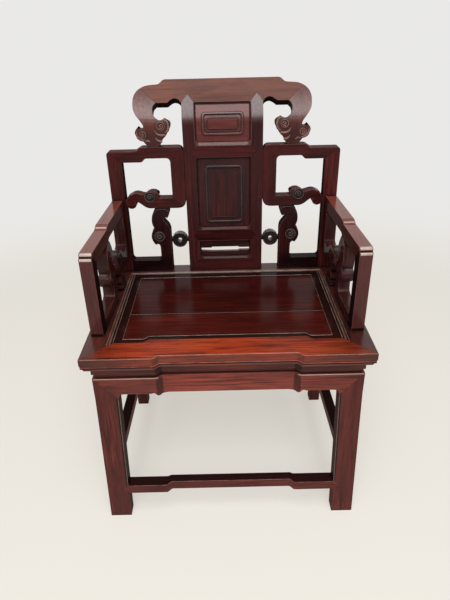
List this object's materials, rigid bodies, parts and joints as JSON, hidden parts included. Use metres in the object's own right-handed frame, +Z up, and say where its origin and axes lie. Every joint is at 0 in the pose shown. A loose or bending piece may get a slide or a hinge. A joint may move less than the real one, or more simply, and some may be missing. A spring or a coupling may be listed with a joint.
{
  "type": "armchair",
  "caption": "Traditional dark hardwood armchair with a framed flat seat, a leaning crest over a panelled splat, scrolled side frames, square arms, splayed legs and low stretchers",
  "frame": {"origin": "on the floor, under the middle of the whole chair's box", "axes": "+Z up; -Y is the way a sitter faces, +Y the back; +X to the right as seen from the front camera; all lengths in metres"},
  "size_m": [0.628, 0.5032, 0.9924],
  "materials": {
    "apron_front": "polished",
    "apron_left": "polished",
    "apron_rear": "polished",
    "apron_right": "polished",
    "arm_base_left": "polished",
    "arm_base_right": "polished",
    "arm_cloud_left": "polished",
    "arm_cloud_right": "polished",
    "arm_post_left": "polished",
    "arm_post_right": "polished",
    "arm_rail_left": "polished",
    "arm_rail_right": "polished",
    "arm_scroll_left": "polished",
    "arm_scroll_right": "polished",
    "arm_upright_left": "polished",
    "arm_upright_right": "polished",
    "back_stile_left": "polished",
    "back_stile_right": "polished",
    "base_rail_left": "polished",
    "base_rail_right": "polished",
    "crest_end_left": "polished",
    "crest_end_right": "polished",
    "crest_rail": "polished",
    "disc_left": "polished",
    "disc_right": "polished",
    "ear_rail_left": "polished",
    "ear_rail_right": "polished",
    "ear_scroll_left": "polished",
    "ear_scroll_right": "polished",
    "ear_upright_left": "polished",
    "ear_upright_right": "polished",
    "leg_front_left": "polished",
    "leg_front_right": "polished",
    "leg_rear_left": "polished",
    "leg_rear_right": "polished",
    "low_scroll_left": "polished",
    "low_scroll_right": "polished",
    "seat_batten": "polished",
    "seat_board_front": "polished",
    "seat_board_rear": "polished",
    "seat_rail_front": "polished",
    "seat_rail_left": "polished",
    "seat_rail_rear": "polished",
    "seat_rail_right": "polished",
    "splat_panel_bottom": "polished",
    "splat_panel_middle": "polished",
    "splat_panel_top": "polished",
    "splat_rail_bottom": "polished",
    "splat_rail_lower": "polished",
    "splat_rail_upper": "polished",
    "splat_stile_left": "polished",
    "splat_stile_right": "polished",
    "stretcher_front": "polished",
    "stretcher_left": "polished",
    "stretcher_rear": "polished",
    "stretcher_right": "polished",
    "waist_front": "polished",
    "waist_left": "polished",
    "waist_rear": "polished",
    "waist_right": "polished"
  },
  "bodies": {
    "root": {"apron_front": "apron_front", "apron_left": "apron_left", "apron_rear": "apron_rear", "apron_right": "apron_right", "arm_base_left": "arm_base_left", "arm_base_right": "arm_base_right", "arm_cloud_left": "arm_cloud_left", "arm_cloud_right": "arm_cloud_right", "arm_post_left": "arm_post_left", "arm_post_right": "arm_post_right", "arm_rail_left": "arm_rail_left", "arm_rail_right": "arm_rail_right", "arm_scroll_left": "arm_scroll_left", "arm_scroll_right": "arm_scroll_right", "arm_upright_left": "arm_upright_left", "arm_upright_right": "arm_upright_right", "back_stile_left": "back_stile_left", "back_stile_right": "back_stile_right", "base_rail_left": "base_rail_left", "base_rail_right": "base_rail_right", "crest_end_left": "crest_end_left", "crest_end_right": "crest_end_right", "crest_rail": "crest_rail", "disc_left": "disc_left", "disc_right": "disc_right", "ear_rail_left": "ear_rail_left", "ear_rail_right": "ear_rail_right", "ear_scroll_left": "ear_scroll_left", "ear_scroll_right": "ear_scroll_right", "ear_upright_left": "ear_upright_left", "ear_upright_right": "ear_upright_right", "leg_front_left": "leg_front_left", "leg_front_right": "leg_front_right", "leg_rear_left": "leg_rear_left", "leg_rear_right": "leg_rear_right", "low_scroll_left": "low_scroll_left", "low_scroll_right": "low_scroll_right", "seat_batten": "seat_batten", "seat_board_front": "seat_board_front", "seat_board_rear": "seat_board_rear", "seat_rail_front": "seat_rail_front", "seat_rail_left": "seat_rail_left", "seat_rail_rear": "seat_rail_rear", "seat_rail_right": "seat_rail_right", "splat_panel_bottom": "splat_panel_bottom", "splat_panel_middle": "splat_panel_middle", "splat_panel_top": "splat_panel_top", "splat_rail_bottom": "splat_rail_bottom", "splat_rail_lower": "splat_rail_lower", "splat_rail_upper": "splat_rail_upper", "splat_stile_left": "splat_stile_left", "splat_stile_right": "splat_stile_right", "stretcher_front": "stretcher_front", "stretcher_left": "stretcher_left", "stretcher_rear": "stretcher_rear", "stretcher_right": "stretcher_right", "waist_front": "waist_front", "waist_left": "waist_left", "waist_rear": "waist_rear", "waist_right": "waist_right"}
  },
  "joints": []
}
